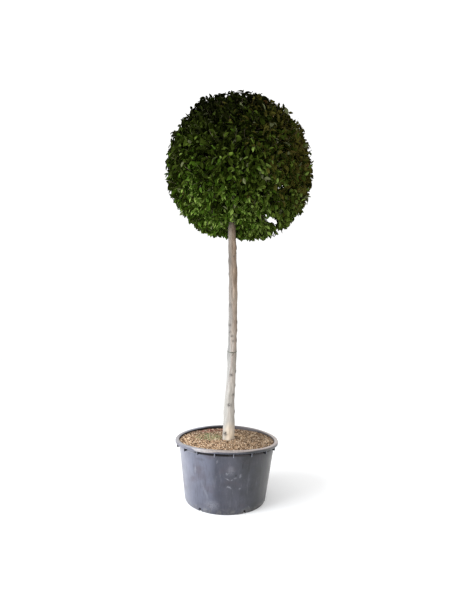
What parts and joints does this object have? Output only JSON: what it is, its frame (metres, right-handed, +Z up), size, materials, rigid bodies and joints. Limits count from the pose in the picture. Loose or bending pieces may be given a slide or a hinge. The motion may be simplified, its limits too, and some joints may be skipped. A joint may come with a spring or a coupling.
{
  "type": "potted hornbeam",
  "caption": "Garden tree on a clear stem, its dense leafy crown clipped to a ball, growing in a round plastic nursery pot with a ribbed lip and drain slots.",
  "frame": {"origin": "centre of the pot's flat underside", "axes": "+Z up the trunk, -Y towards the side that the picture shows, +X to the right as seen from there"},
  "size_m": [1.4535, 1.4482, 3.7241],
  "materials": {
    "pot": "satin",
    "soil": "matte",
    "bark": "matte",
    "tie": "matte",
    "leaves": "matte"
  },
  "bodies": {
    "root": {"pot": "pot", "soil": "soil", "trunk": "bark", "tie": "tie", "crown": "leaves"}
  },
  "joints": []
}
